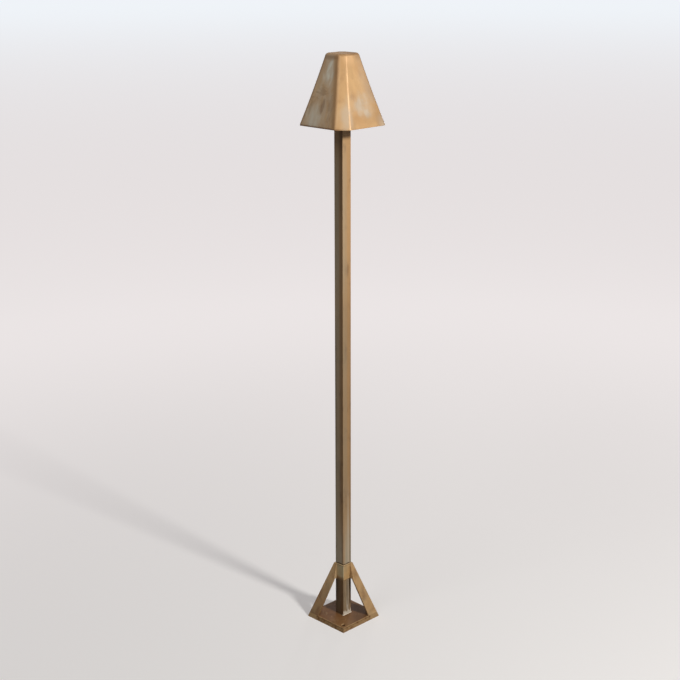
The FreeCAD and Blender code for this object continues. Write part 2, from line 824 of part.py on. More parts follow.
# Every object must have come out whole before anything is written
for thing in doc.Objects:
    if "Invalid" in thing.State or "Error" in thing.State:
        raise RuntimeError(f"{thing.Label} did not build: {thing.State}")
for node in nodes:
    if node.Shape.isNull() or not node.Shape.isValid():
        raise RuntimeError(f"{node.Label} has no valid shape")

os.makedirs("parts", exist_ok=True)
for node in nodes:
    node.Shape.exportStep(os.path.join("parts", f"{node.Label}.step"))
    box = node.Shape.BoundBox
    print(f"{node.Label}: {len(node.Shape.Solids)} solid(s), {node.Shape.Volume:.0f} mm3, "
          f"z {box.ZMin:.2f} to {box.ZMax:.2f}, x {box.XMin:.2f} to {box.XMax:.2f}, "
          f"y {box.YMin:.2f} to {box.YMax:.2f}")
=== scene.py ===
# %% [markdown]
# # Path light
# This lesson dresses a garden path light: a faceted hollow shade on a tall square stem that stands
# on an open pyramid base. The packed model already gives every rigid piece its true size and place,
# so most of the work is in the finishes. Five pieces are worked out again as smooth surfaces: the
# shade, the glass cover, the lamp, the thumb screw and the braze at the foot of the stem.

# %% Load the packed model
import json
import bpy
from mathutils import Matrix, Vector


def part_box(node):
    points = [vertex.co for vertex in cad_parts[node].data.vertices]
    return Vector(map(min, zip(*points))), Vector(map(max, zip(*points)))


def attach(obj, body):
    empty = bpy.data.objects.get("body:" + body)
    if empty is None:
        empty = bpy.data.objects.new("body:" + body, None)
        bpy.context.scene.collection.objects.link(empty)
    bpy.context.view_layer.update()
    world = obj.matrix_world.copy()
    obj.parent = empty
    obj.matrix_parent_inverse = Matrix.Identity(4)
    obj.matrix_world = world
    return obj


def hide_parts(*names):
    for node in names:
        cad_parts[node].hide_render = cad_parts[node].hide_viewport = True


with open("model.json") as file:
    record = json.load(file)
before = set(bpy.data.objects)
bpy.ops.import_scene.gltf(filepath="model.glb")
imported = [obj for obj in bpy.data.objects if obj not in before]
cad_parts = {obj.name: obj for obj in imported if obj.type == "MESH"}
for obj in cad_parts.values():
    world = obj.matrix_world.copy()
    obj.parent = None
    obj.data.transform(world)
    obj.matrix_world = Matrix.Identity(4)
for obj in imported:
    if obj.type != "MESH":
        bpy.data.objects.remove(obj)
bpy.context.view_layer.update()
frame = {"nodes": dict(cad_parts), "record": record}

from types import SimpleNamespace

import bpy
import numpy as np
from mathutils import Matrix, Vector

nodes = frame["nodes"]

# %% [markdown]
# ## Sums with shader sockets
# A finish is a sum of many masks, and wiring each Math node by hand hides the sum. A small class
# can wrap a socket instead, so that `1 - mask * 0.5` builds its own nodes. Every other kind of
# node goes through one method, which sets the node's options first and its sockets after.

# %% The socket class
class Field:
    """A shader socket that takes part in sums: each operator adds one Math node."""

    def __init__(self, socket):
        self.socket = socket

    def node(self, kind, settings, inputs, output=0):
        """Any other node: options first, then a value or a link for each named socket."""
        tree = self.socket.id_data
        made = tree.nodes.new(kind)
        for name, value in settings.items():
            setattr(made, name, value)
        for name, value in inputs.items():
            if isinstance(value, Field):
                tree.links.new(value.socket, made.inputs[name])
            else:
                made.inputs[name].default_value = value
        return Field(made.outputs[output])

    def math(self, operation, first, second=0.0):
        """One Math node in the same tree."""
        return self.node("ShaderNodeMath", {"operation": operation}, {0: first, 1: second})

    def __add__(self, other):
        return self.math("ADD", self, other)

    def __radd__(self, other):
        return self.math("ADD", other, self)

    def __sub__(self, other):
        return self.math("SUBTRACT", self, other)

    def __rsub__(self, other):
        return self.math("SUBTRACT", other, self)

    def __mul__(self, other):
        return self.math("MULTIPLY", self, other)

    def __rmul__(self, other):
        return self.math("MULTIPLY", other, self)

    def __abs__(self):
        return self.math("ABSOLUTE", self)


methods = [name.strip("_") for name, value in vars(Field).items() if callable(value)]
print("the socket class can:", methods)

# %% [markdown]
# ## A vocabulary for finishes
# Worn metal is described with a few words: a tone, a noise, a smooth rise between two limits, a
# band, a patch about a point, a mix of two tones. Each word is a short function here, and everything
# reads Object coordinates, in metres, so a pattern has its real size and stays with its piece.

# %% Tones and masks
def tone(red, green, blue):
    """A screen colour, 0 to 255 a channel, as the linear colour that shaders work in."""
    share = np.array([red, green, blue]) / 255
    linear = np.where(share <= 0.04045, share / 12.92, ((share + 0.055) / 1.055) ** 2.4)
    return (*linear.tolist(), 1.0)


def noise(place, scale, detail=4.0, stretch=(1, 1, 1), shift=(0, 0, 0)):
    """Cloudy noise about 0.5; scale counts its blobs in a metre, stretch below 1 draws them out."""
    spread = place.node("ShaderNodeMapping", {}, {
        "Vector": place, "Scale": stretch, "Location": shift})
    return spread.node("ShaderNodeTexNoise", {}, {
        "Vector": spread, "Scale": scale, "Detail": detail})


def rise(value, low, high):
    """0 at low, 1 at high and a smooth climb between; low may be the larger of the two."""
    return value.node("ShaderNodeMapRange", {"interpolation_type": "SMOOTHSTEP"}, {
        "Value": value, "From Min": low, "From Max": high})


def band(value, start, full, fade, end):
    """0 up to start, 1 from full to fade and 0 again from end."""
    return rise(value, start, full) * rise(value, end, fade)


def mix(share, first, second):
    """The first tone where share is 0, the second where it is 1."""
    return share.node("ShaderNodeMix", {"data_type": "RGBA"}, {0: share, 6: first, 7: second}, 2)


def least(first, second):
    """The smaller of two fields at each point."""
    return first.math("MINIMUM", first, second)


def most(first, *others):
    """The largest of several fields at each point."""
    for other in others:
        first = first.math("MAXIMUM", first, other)
    return first


print("a mid tone in linear light:", [round(c, 3) for c in tone(128, 128, 128)[:3]])

# %% [markdown]
# ## Places on a piece
# Most pieces of the light stand corner-on, so their sides lie across the diagonals of the frame.
# A mask can follow one of those diagonals, the height, or the distance from a point. A real stain
# has no clean outline, so noise pulls the edge of a patch in and out.

# %% Axes and patches
ROOT_HALF = 0.5 ** 0.5


def axes(place):
    """The three coordinates of a place, each as a field of its own."""
    split = place.node("ShaderNodeSeparateXYZ", {}, {0: place})
    return [Field(socket) for socket in split.socket.node.outputs]


def square_axes(place):
    """Coordinates across the sides of pieces that stand corner-on, and the height."""
    x, y, z = axes(place)
    return (x + y) * ROOT_HALF, (x - y) * ROOT_HALF, z


def distance(place, centre):
    """How far a place is from a centre."""
    settings = {"operation": "DISTANCE"}
    return place.node("ShaderNodeVectorMath", settings, {0: place, 1: centre}, 1)


def patch(place, centre, radius, tall=1.0, ragged=0.03):
    """1 about a centre and 0 beyond a radius, with an outline that noise pulls in and out.

    The distance is measured with the height divided by tall, which draws the patch out upwards.
    """
    squeeze = (1, 1, 1 / tall)
    settings = {"operation": "MULTIPLY"}
    squeezed = place.node("ShaderNodeVectorMath", settings, {0: place, 1: squeeze})
    away = distance(squeezed, (centre[0], centre[1], centre[2] / tall))
    return rise(away + (noise(place, 45, 5, squeeze) - 0.5) * ragged, radius, radius * 0.25)


print("half a diagonal in sides:", round(ROOT_HALF, 4))

# %% [markdown]
# ## Materials
# Every finish is one Principled shader. What doesn't vary over a piece is set on its sockets, and
# what does is linked: tone, roughness, how metallic it is, and a bump for the relief. The finished
# materials are kept by name, under the names of the slots in the packed record.

# %% A new material
finishes = {}


def new_finish(name, constants):
    """A material with one Principled shader; gives both and the piece's Object coordinates."""
    material = bpy.data.materials.new(name)
    material.use_nodes = True
    tree = material.node_tree
    shader = tree.nodes["Principled BSDF"]
    for socket, value in constants.items():
        shader.inputs[socket].default_value = value
    place = Field(tree.nodes.new("ShaderNodeTexCoord").outputs["Object"])
    return material, shader, place


def feed(shader, colour, roughness, metallic=None, height=None, depth=0.0001, strength=0.4):
    """Link the fields that vary over the surface; height becomes a bump of a depth in metres."""
    links = {"Base Color": colour, "Roughness": roughness}
    if metallic is not None:
        links["Metallic"] = metallic
    if height is not None:
        links["Normal"] = height.node("ShaderNodeBump", {}, {
            "Height": height, "Distance": depth, "Strength": strength})
    for name, field in links.items():
        shader.id_data.links.new(field.socket, shader.inputs[name])


def keep(name, material):
    """Keep a finished material under the name of its slot."""
    finishes[name] = material
    print(name, "shader nodes:", len(material.node_tree.nodes))


print("sockets that may vary:", ["Base Color", "Roughness", "Metallic", "Normal"])

# %% [markdown]
# ## Aged bronze
# What shows of the light is all one metal: bronze that has gone brown, rubbed bright on its
# corners and hazed with a thin grey-green film. One function lays the layers down in this order:
# clouds in the metal, dark stains, pale haze with painted highlights, the film, rubbed edges with
# painted highlights, then grime with painted shade and painted shadows.

# %% The layers of aged bronze
# The haze and edge layers also carry painted highlights; the grime layer carries painted shade.
LAYERS = ("haze", "film", "edge", "grime")


def aged_bronze(name, layers, shine=0.3, **screen_tones):
    """One bronze, with a screen tone for metal, pale, dark and each of the layers.

    layers(place) gives a mask from 0 to 1 for each layer, by name, and a streak field about 0.5.
    """
    material, shader, place = new_finish(name, {"Specular IOR Level": shine})
    tones = {part: tone(*screen) for part, screen in screen_tones.items()}
    masks, streak = layers(place)
    grain = noise(place, 1400, 3)
    cloud = rise(noise(place, 26, 5) + (streak - 0.5) * 0.5, 0.36, 0.68)
    stain = rise(noise(place, 70, 6, (1, 1, 0.5), (3, 1, 2)), 0.52, 0.74)
    colour = mix(cloud, tones["metal"], tones["pale"])
    colour = mix(stain * 0.55 + (grain - 0.5) * 0.25, colour, tones["dark"])
    for layer in LAYERS:
        colour = mix(masks[layer], colour, tones[layer])
    roughness = 0.46 + masks["film"] * 0.14 + masks["grime"] * 0.28 + (grain - 0.5) * 0.12
    metallic = 0.08 - masks["film"] * 0.06 + masks["edge"] * 0.08
    height = grain * 0.5 + noise(place, 260, 4) + streak * 0.3
    feed(shader, colour, roughness, metallic, height, 0.00012, 0.35)
    keep(name, material)


print("layers over the metal:", LAYERS)

# %% [markdown]
# ## Stem
# The stem is drawn square tube. Drawing leaves long faint lines, so its noise is stretched along
# the height. Two of its faces are in front, and each layer keeps to one of them, to a strip beside
# their corner or to a stretch of the height. So the fields for these come first, for all layers.

# %% Where a point lies on the stem
STEM_HALF = 0.010
STEM_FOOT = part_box("stem")[0].z
COLLAR_FOOT, COLLAR_TOP = (corner.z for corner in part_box("base_collar"))


def stem_survey(place):
    """The fields that the stem's layers share, with distances in metres.

    left and right are 1 on the two faces in front, from_front is the distance from their corner,
    above and below are the stretches over and under the collar.
    """
    u, v, z = square_axes(place)
    at = SimpleNamespace(place=place, u=u, v=v, z=z)
    at.left = rise(u, 0.0005 - STEM_HALF, 0.0001 - STEM_HALF)
    at.right = rise(v, STEM_HALF - 0.0005, STEM_HALF - 0.0001)
    at.from_front = u - v + 2 * STEM_HALF
    at.near_corner = rise(at.from_front, 0.006, 0.002)
    above = rise(z, 0.24, COLLAR_TOP + 0.006) * rise(z, COLLAR_FOOT, COLLAR_TOP)
    at.above = above * (1 - at.near_corner * 0.6)
    at.below = rise(z, COLLAR_FOOT + 0.001, COLLAR_FOOT - 0.004)
    at.streak = noise(place, 330, 3, (1, 1, 0.004))
    at.blotch = noise(place, 35, 4, (1, 1, 0.2))
    return at


print("collar from", round(COLLAR_FOOT, 4), "to", round(COLLAR_TOP, 4))

# %% [markdown]
# ### Film and solder
# The grey film has settled on both faces, most of all above the collar, where rain stands. At the
# foot, solder has run out of the joint. A rag has drawn it up the right face in pale trails, and
# has wiped a cleaner strip beside them.

# %% Film and solder on the stem
def stem_film(at):
    """Film: thin beside the corner of the right face, thicker on the far part of the left one."""
    veil = rise(at.streak * 0.7 + at.blotch * 0.5, 0.46, 0.72)
    weathered = rise(at.z, 0.95, 0.8)
    sunny = at.right * rise(at.from_front, 0.012, 0.008) * 0.66 * weathered
    low = at.right * at.below * 0.8
    cool = at.left * rise(at.from_front, 0.005, 0.012) * weathered
    return most(most(sunny, low) * (0.3 + veil * 0.45), cool * (0.5 + veil * 0.4),
                at.above * (0.55 + veil * 0.4))


def stem_solder(at):
    """Solder on the right face: a ragged pool at the foot and the trails drawn up from it."""
    trail = noise(at.place, 420, 3, (1, 1, 0.06))
    pool = rise(at.z + (trail - 0.5) * 0.03, STEM_FOOT + 0.009, STEM_FOOT + 0.004)
    drawn_up = band(at.from_front, 0.001, 0.004, 0.0125, 0.0145) * rise(at.z, 0.075, 0.03)
    return at.right * most(pool, rise(trail, 0.53, 0.59) * drawn_up * 0.9)


def stem_wiped(at):
    """The strip that was wiped clean, fading out upwards."""
    strip = band(at.from_front, 0.0095, 0.0118, 0.0136, 0.0155)
    return at.right * strip * rise(at.z, 0.30, 0.16) * 0.5


print("the stem's foot is at", round(STEM_FOOT, 4))

# %% [markdown]
# ### Grime and painted shade
# A wavy dark line marks the joint over the collar, with painted shade in it, and the collar's
# painted shadow lies under the collar. Painted shade covers the left face, which is turned from
# the lamp. The right face is darker lower down, and both faces towards their far edges. Below the
# collar the left face is painted in shade, and the right face carries the right leg's painted
# shadow and grime in its drawn lines, where soil splashes up. Each of these is a mask of its own,
# and the strongest one wins, so that they don't add up.

# %% Grime and painted shade on the stem
def stem_joint_shading(at):
    """A wavy line: the dark joint with painted shade over the collar, its painted shadow under it."""
    # Painted shade: a dark joint line over the collar and the collar's shadow under it.
    wavy = at.z + (noise(at.place, 110, 3) - 0.5) * 0.006
    over = rise(wavy, COLLAR_TOP + 0.0034, COLLAR_TOP + 0.0010)
    under = rise(wavy, COLLAR_FOOT - 0.003, COLLAR_FOOT - 0.001)
    return most(over * rise(at.z, COLLAR_FOOT, COLLAR_TOP),
                under * rise(at.z, COLLAR_TOP, COLLAR_FOOT)) * 0.9


def stem_grime(at):
    """Painted shade on joint and left face, darker low right and far edges, and below the collar."""
    # Painted shade on the left face, turned from the lamp, darkest under the lamp shade.
    near = rise(at.from_front, 0.012, 0.004)
    shaded = at.left * most(rise(at.z, 0.5, 0.86) * (0.1 + near * 0.38 + at.blotch * 0.48),
                            (0.15 + near * 0.42) * (1 - at.above))
    # The right face darker lower down.
    darker_low_right = at.right * rise(at.z, 0.70, 0.55) * (1 - at.above) * 0.25
    far_left = at.left * rise(at.z, 0.64, 0.5) * (0.15 + rise(at.z, 0.16, 0.4) * 0.3)
    far_right = at.right * rise(at.z, 0.6, 0.42) * (0.38 + rise(at.z, 0.24, 0.16) * 0.06)
    far = rise(at.from_front, 0.0150, 0.0166) * (far_left + far_right)
    # Painted shadow of the right leg, low on the right face.
    strip = rise(at.from_front, 0.0138, 0.0155) * rise(at.z, 0.014, 0.034) * 0.85
    lines = most(rise(at.streak, 0.42, 0.6), at.near_corner) * 0.46
    # Below the collar: the left face in painted shade, the leg's painted shadow and dark lines on the
    # right.
    below_collar_dark = at.below * most(at.left * 0.7, at.right * most(strip, lines))
    return most(stem_joint_shading(at), darker_low_right, shaded, far, below_collar_dark)


print("half the stem's side:", STEM_HALF)

# %% [markdown]
# ### The whole finish of the stem
# Together these make the stem's finish. Hands and brushes rub its corners bright, which shows most
# where the noise is high, and solder covers whatever lies under it.

# %% Stem finish
def stem_layers(place):
    """The stem's masks and its drawn lines."""
    at = stem_survey(place)
    solder, wiped = stem_solder(at), stem_wiped(at)
    corner = rise(least(abs(at.u), abs(at.v)), STEM_HALF - 0.0011, STEM_HALF - 0.0002)
    rubbed = rise(noise(place, 120, 4, (1, 1, 0.15)), 0.3, 0.6)
    masks = {"haze": most(solder, at.above * 0.2, wiped),
             "film": stem_film(at) * (1 - most(solder, wiped)),
             "edge": corner * rubbed * 0.5,
             "grime": stem_grime(at) * (1 - solder)}
    return masks, at.streak


aged_bronze("stem_bronze", stem_layers,
            metal=(176, 138, 95), pale=(182, 142, 97), dark=(120, 88, 58), haze=(222, 212, 194),
            film=(164, 153, 130), edge=(198, 158, 112), grime=(70, 48, 26))

# %% [markdown]
# ## Shade
# The shade is cast, with broad faces where the layers show best. Its edges are found from the two
# sets of side planes, the flat sides and the corner facets: where a point is near both, it is near
# an edge. Both sets lean in towards the top and draw in by a shallow bow between rim and crown.

# %% Where a point lies on the shade
RIM_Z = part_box("shade")[0].z
SHADE_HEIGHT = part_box("shade")[1].z - RIM_Z
# Half widths across the flat sides and across the corner facets, at the rim and at the top
FLAT_RIM, FLAT_TOP = 0.05935, 0.02335
FACET_RIM, FACET_TOP = 0.07083, 0.02662
BOW = 0.0010


def shade_patch(place, x, y, above_rim, radius, tall=1.0, ragged=0.03):
    """A patch about a point given by its height above the rim."""
    return patch(place, (x, y, RIM_Z + above_rim), radius, tall, ragged)


def shade_survey(place):
    """The fields that the shade's layers share, with distances in metres.

    up runs from 0 at the rim to 1 at the crown, to_flat and to_facet are the distances in from the
    two sets of planes, left and right are 1 on the two sides in front, seam is 1 beside the facet,
    and bloom and veil are two patches of film that other layers keep clear of.
    """
    u, v, z = square_axes(place)
    x, y, _ = axes(place)
    up = (z - RIM_Z) * (1 / SHADE_HEIGHT)
    bow = up * (1 - up) * (4 * BOW)
    flat_half = FLAT_RIM - up * (FLAT_RIM - FLAT_TOP) - bow
    facet_half = FACET_RIM - up * (FACET_RIM - FACET_TOP) - bow
    at = SimpleNamespace(place=place, x=x, y=y, z=z, u=u, v=v, up=up)
    at.to_flat = flat_half - most(abs(u), abs(v))
    at.to_facet = facet_half - most(abs(x), abs(y))
    at.left = rise(u + flat_half, 0.0035, 0.0)
    at.right = rise(v - flat_half, -0.002, -0.0005)
    at.seam = at.left * rise(at.to_facet, 0.011, 0.002) * rise(v, 0.0, 0.01)
    at.wear = noise(place, 90, 4)
    at.run = noise(place, 60, 4, (1, 1, 0.25), (1, 4, 2))
    at.wisp = rise(noise(place, 95, 6, (1, 1, 0.3), (2, 3, 5)), 0.4, 0.6)
    at.bloom = shade_patch(place, -0.049, -0.030, 0.01445, 0.033, 1.4) * (0.56 + at.wisp * 0.28)
    at.veil = shade_patch(place, -0.021, -0.024, 0.08845, 0.019, 2.2) * (0.6 + at.wisp * 0.4)
    return at


print("rim at", round(RIM_Z, 4), "and height of the shade", round(SHADE_HEIGHT, 4))

# %% [markdown]
# ### Film, haze, rubbed edges and painted highlights
# The film is a green-grey bloom low on the left side and a veil near its top. The right side has
# paler clouds instead, and so have its far corner and the front facet. Rubbed metal shows a little
# on every edge. A painted highlight lies on the facet edges to the right, which face the lamp, and
# a painted glint under the crown.

# %% Film, haze, rubbed edges and painted highlights of the shade
def shade_film(at):
    """Film: the two patches, wisps over the left side and clouds on the back, off the seam."""
    cloud = rise(noise(at.place, 24, 5, (1, 1, 0.6), (5, 2, 1)), 0.46, 0.66)
    back = rise(at.y, -0.02, 0.02) * cloud * 0.5
    return most(at.bloom, at.veil, back, at.left * (0.16 + at.wisp * 0.2)) * (1 - at.seam)


def shade_haze(at):
    """Haze: a rippled cloud, mist high on the right side, its far corner and the front facet."""
    ripple = noise(at.place, 120, 4, (0.5, 0.5, 2.2), (4, 1, 6))
    mist = rise(noise(at.place, 42, 6, (1, 1, 0.8), (9, 2, 4)), 0.38, 0.6)
    cloud = shade_patch(at.place, 0.037, -0.036, 0.03745, 0.03) * (0.6 + at.wisp * 0.6)
    corner = shade_patch(at.place, 0.064, -0.008, 0.00545, 0.024, 0.8) * 0.85
    facet = shade_patch(at.place, 0.006, -0.060, 0.02545, 0.02, 2.8) * 0.7
    high = at.right * rise(at.u, -0.006, 0.02) * rise(at.up, 0.2, 0.4) * (0.12 + mist * 0.38)
    return most(cloud * (0.5 + ripple), corner, high, facet)


def shade_rubbed_and_highlight(at):
    """Rubbed edges, a painted highlight on the facet edges to the right and a painted glint."""
    # Painted highlight: a glint under the crown, above the front facet.
    painted_glint = shade_patch(at.place, 0.013, -0.026, 0.11045, 0.017, 1.0, 0.01)
    rubbed = rise(at.to_flat + at.to_facet, 0.0019, 0.0006) * rise(at.wear, 0.28, 0.5)
    # Painted highlight on the facet edges to the right, which face the lamp, fading near the crown.
    facing = rise(abs(at.y) - abs(at.x), -0.004, 0.004) * rise(at.x, -0.002, 0.004)
    return most(rubbed * (0.1 + facing * rise(at.up, 0.97, 0.66) * 0.6), painted_glint * 0.8)


print("sides lean in by", round(FLAT_RIM - FLAT_TOP, 4), "over the height")

# %% [markdown]
# ### Grime and painted shade
# Brown runs stain the left side: beside the facet, low down, and in a smear across the middle. The
# right side is a little browner in places. The crown is painted darker as shade, most on its
# right, and the facet on the right is darker. Painted shade darkens the facet on the left, which
# is turned from the lamp, a little of the front facet, and a band along the rim on that side.

# %% Grime and painted shade on the shade
def shade_brown(at):
    """Brown on the left side: beside the facet, in a low run, in smoke and smear, under the crown."""
    smoke = rise(noise(at.place, 75, 6, (1, 1, 0.35), (7, 1, 3)), 0.48, 0.68)
    smoke = smoke * rise(at.up, 0.5, 0.34) * (1 - at.bloom)
    smear = rise(noise(at.place, 85, 6, (0.6, 0.6, 1.7), (2.992, 8.008, 1)), 0.5, 0.62)
    smear = smear * band(at.up, 0.34, 0.42, 0.52, 0.66) * 0.62
    low_run = shade_patch(at.place, -0.018, -0.054, 0.03045, 0.020, 2.2) * rise(at.run, 0.3, 0.6)
    overall = 0.17 - at.veil * 0.17 + most(smoke, smear) * 0.42
    under_crown = rise(at.up, 0.88, 0.95) * 0.55
    return most(at.seam * 0.42, low_run * 0.42, at.left * most(overall, under_crown))


def shade_browner_right(at):
    """Brown on the right side: in runs, in a band above the rim, towards the far edge and the top."""
    return at.right * (0.06 + rise(at.run, 0.4, 0.62) * 0.13
                       + band(at.up, 0.02, 0.08, 0.15, 0.22) * 0.08
                       + rise(at.u, 0.012, 0.03) * 0.18
                       + rise(at.up, 0.3, 0.5) * rise(at.u, 0.002, 0.016) * 0.14
                       + rise(at.up, 0.88, 0.96) * rise(at.u, -0.004, 0.01) * 0.24)


def shade_grime(at):
    """Grime and painted shade: both sides, the crown, the left facet and rim, and the right facet."""
    # Painted shade: the crown darker, most on its right.
    crown = rise(at.up, 0.962, 0.985) * (0.46 + rise(at.x, 0.0, 0.02) * 0.22)
    # The facet on the right darker.
    dull = rise(at.to_facet, 0.0016, 0.0004) * rise(at.x, 0.02, 0.03) * 0.65
    rim = rise(at.z + (at.wear - 0.5) * 0.004, RIM_Z + 0.0042, RIM_Z + 0.0012) * 0.8
    # Painted shade on the left, turned from the lamp: its facet and a band along the rim.
    turned_from_lamp = 0.1 + rise(abs(at.x) - abs(at.y), -0.004, 0.006) * 0.4
    facet = rise(at.to_facet, 0.003, 0.0004) * turned_from_lamp
    painted_shade_left = rise(at.x, 0.012, -0.016) * most(facet, rim)
    front = rise(at.y, 0.03, 0.0)
    return most(crown, dull, shade_browner_right(at), most(shade_brown(at), painted_shade_left) * front)


print("the bow is", BOW, "deep")

# %% [markdown]
# ### The whole finish of the shade
# The four masks go to the same function as the stem's did. The shade was cast, not drawn, so long
# runs of rain take the place of drawn lines, and its tones are warmer.

# %% Shade finish
def shade_layers(place):
    """The shade's masks and its long runs."""
    at = shade_survey(place)
    masks = {"haze": shade_haze(at), "film": shade_film(at), "edge": shade_rubbed_and_highlight(at),
             "grime": shade_grime(at)}
    return masks, at.run


aged_bronze("shade_bronze", shade_layers,
            metal=(186, 145, 98), pale=(197, 158, 110), dark=(160, 123, 85), haze=(190, 170, 145),
            film=(216, 208, 188), edge=(216, 174, 126), grime=(108, 73, 42))

# %% [markdown]
# ## Base plate
# The plate lies flat and keeps the damp, so it has gone browner than the rest. Its sides and
# corners are rubbed, and the middle of the front is trodden paler. Its bevelled top edge has a
# painted highlight with a painted shade line under it, and the left half of each hole's rim a
# painted highlight. The record gives the two anchor holes, which are painted dark inside as shade,
# and the right half of the top is painted in the right leg's shade.

# %% Base plate finish
PLATE_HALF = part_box("base_plate")[1].x * ROOT_HALF
holes = next(mount for mount in frame["record"]["mounts"] if mount["name"] == "anchor_holes")
HOLE_REACH = holes["dims"]["spacing_y_mm"] / 2000
HOLE_RADIUS = holes["dims"]["hole_r_mm"] / 1000


def about_hole(away_squared, start, full):
    """A rise towards the nearer hole between two distances from its edge."""
    return rise(away_squared, (HOLE_RADIUS + start) ** 2, (HOLE_RADIUS + full) ** 2)


def plate_layers(place):
    """The plate's masks and its clouds; side is 1 on its sloping sides and 0 on its top."""
    u, v, z = square_axes(place)
    x, y, _ = axes(place)
    side = rise(most(abs(u), abs(v)) + z * 0.3, PLATE_HALF - 0.0022, PLATE_HALF - 0.0004)
    top = 1 - side
    corner = side * rise(abs(x), 0.0485, 0.0505)
    # Painted highlight along the bevelled top edge, and a painted shade line under it.
    bevel = side * rise(z, 0.0069, 0.0074)
    line = side * band(z, 0.0052, 0.0062, 0.0067, 0.0071) * (1 - corner) * 0.5
    beyond = abs(y) - HOLE_REACH
    away_squared = x * x + beyond * beyond
    # Painted shade inside the anchor holes, and a painted highlight on the left half of their rims.
    hole = about_hole(away_squared, 0.0003, 0.0) * 0.95
    hole_rim_highlight = about_hole(away_squared, 0.0020, 0.0013) * (1 - hole) * rise(x, 0.0015, -0.001) * 0.9
    worn = rise(noise(place, 150, 4), 0.25, 0.55)
    scratch = rise(noise(place, 60, 3, (6, 0.7, 1), (1, 3, 2)), 0.62, 0.7) * top * 0.3
    trodden = patch(place, (0.0, -0.045, 0.008), 0.036) * top * 0.35
    damp = rise(noise(place, 40, 5, (1, 1, 1), (2, 6, 1)), 0.5, 0.7) * 0.35
    # Painted shade over the right half of the top, where the right leg's shadow falls.
    right_leg_shade = rise(x, 0.006, 0.028) * top * 0.4
    masks = {"haze": most(trodden, bevel * 0.5),
             "film": rise(noise(place, 55, 5), 0.5, 0.72) * 0.25,
             "edge": most(side * worn * 0.75, corner, hole_rim_highlight, scratch),
             "grime": most(hole, line, damp, right_leg_shade)}
    return masks, noise(place, 110, 4)


aged_bronze("plate_bronze", plate_layers, shine=0.08,
            metal=(114, 77, 45), pale=(122, 85, 52), dark=(80, 52, 31), haze=(152, 115, 76),
            film=(106, 86, 61), edge=(164, 133, 94), grime=(62, 40, 26))

# %% [markdown]
# ## Legs and collar
# The legs and the collar are as bright as the stem. The left leg is darker low down, there are
# redder blotches on both, and the legs' heads are painted paler, as if lit. The collar's bevelled
# top has a painted highlight, with a painted shade line under it.

# %% Leg and collar finishes
# How far the faces of the pyramid lean in for each metre of height
LEG_SLOPE = 0.3183


def leg_layers(place):
    """The legs' masks and streaks; inset is the distance in from the faces of the pyramid."""
    u, v, z = square_axes(place)
    left = rise(u + v, 0.005, -0.005)
    streak = noise(place, 160, 4, (1, 1, 0.12))
    blotch = noise(place, 60, 4, (1, 1, 0.5), (4, 4, 4))
    film = rise(noise(place, 48, 5), 0.48, 0.7) * 0.4
    inset = PLATE_HALF - z * LEG_SLOPE - most(abs(u), abs(v))
    # Painted light: the legs' heads beside the collar are paler, as if lit.
    head = rise(inset, 0.0004, 0.0015) * rise(z, COLLAR_FOOT - 0.001, COLLAR_FOOT)
    # The left leg darker low down, in blotches.
    damp = left * rise(z, 0.085, 0.03) * (0.33 + rise(blotch, 0.42, 0.6) * 0.35)
    masks = {"haze": most(film * 0.2, head * 0.6),
             "film": film,
             "edge": rise(inset, 0.0004, 0.0001) * rise(streak, 0.55, 0.7) * 0.3,
             "grime": most(damp, rise(blotch, 0.56, 0.72) * 0.4)}
    return masks, streak


def collar_layers(place):
    """The collar's masks and streaks."""
    u, _, z = square_axes(place)
    streak = noise(place, 160, 4, (1, 1, 0.12))
    left = rise(u, -0.009, -0.011)
    # Painted highlight on the bevelled top, and a painted shade line under it.
    bevel = rise(z, COLLAR_TOP - 0.0007, COLLAR_TOP - 0.0003)
    line = rise(z, COLLAR_TOP - 0.0024, COLLAR_TOP - 0.0012) * (1 - bevel) * 0.6
    damp = rise(z + (streak - 0.5) * 0.012, COLLAR_FOOT + 0.009, COLLAR_FOOT + 0.002) * 0.6
    masks = {"haze": bevel * 0.5,
             "film": most(left * (1 - damp), rise(noise(place, 48, 5), 0.48, 0.7) * 0.3),
             "edge": bevel * 0.8,
             "grime": most(line, damp * left)}
    return masks, streak


aged_bronze("leg_bronze", leg_layers,
            metal=(178, 142, 97), pale=(188, 150, 104), dark=(116, 84, 52), haze=(206, 180, 140),
            film=(150, 136, 106), edge=(206, 176, 130), grime=(104, 66, 38))
aged_bronze("collar_bronze", collar_layers,
            metal=(188, 152, 103), pale=(198, 160, 110), dark=(130, 96, 60), haze=(206, 184, 146),
            film=(196, 176, 136), edge=(206, 176, 130), grime=(104, 66, 38))

# %% [markdown]
# ## Braze
# Filler metal is paler than the bronze and pitted. It keeps that pale tone on the right, which
# faces the lamp, and elsewhere it is painted dark as shade. It is a bronze too, so the same
# function gives its finish.

# %% Braze finish
def braze_layers(place):
    """The braze's masks and clouds: pale on the right, which faces the lamp, painted shade elsewhere.
    """
    _, v, _ = square_axes(place)
    # Lit and shaded copies: pale filler on the right, painted shade on the other sides.
    lit_right = rise(v, STEM_HALF - 0.003, STEM_HALF)
    pitted = rise(noise(place, 500, 3), 0.5, 0.7)
    masks = {"haze": lit_right * 0.9, "film": pitted * 0.2, "edge": lit_right * pitted * 0.3,
             "grime": (1 - lit_right) * 0.8}
    return masks, noise(place, 300, 4)


aged_bronze("braze", braze_layers,
            metal=(150, 118, 82), pale=(168, 140, 106), dark=(110, 82, 54), haze=(222, 212, 194),
            film=(150, 136, 106), edge=(210, 190, 160), grime=(80, 56, 34))

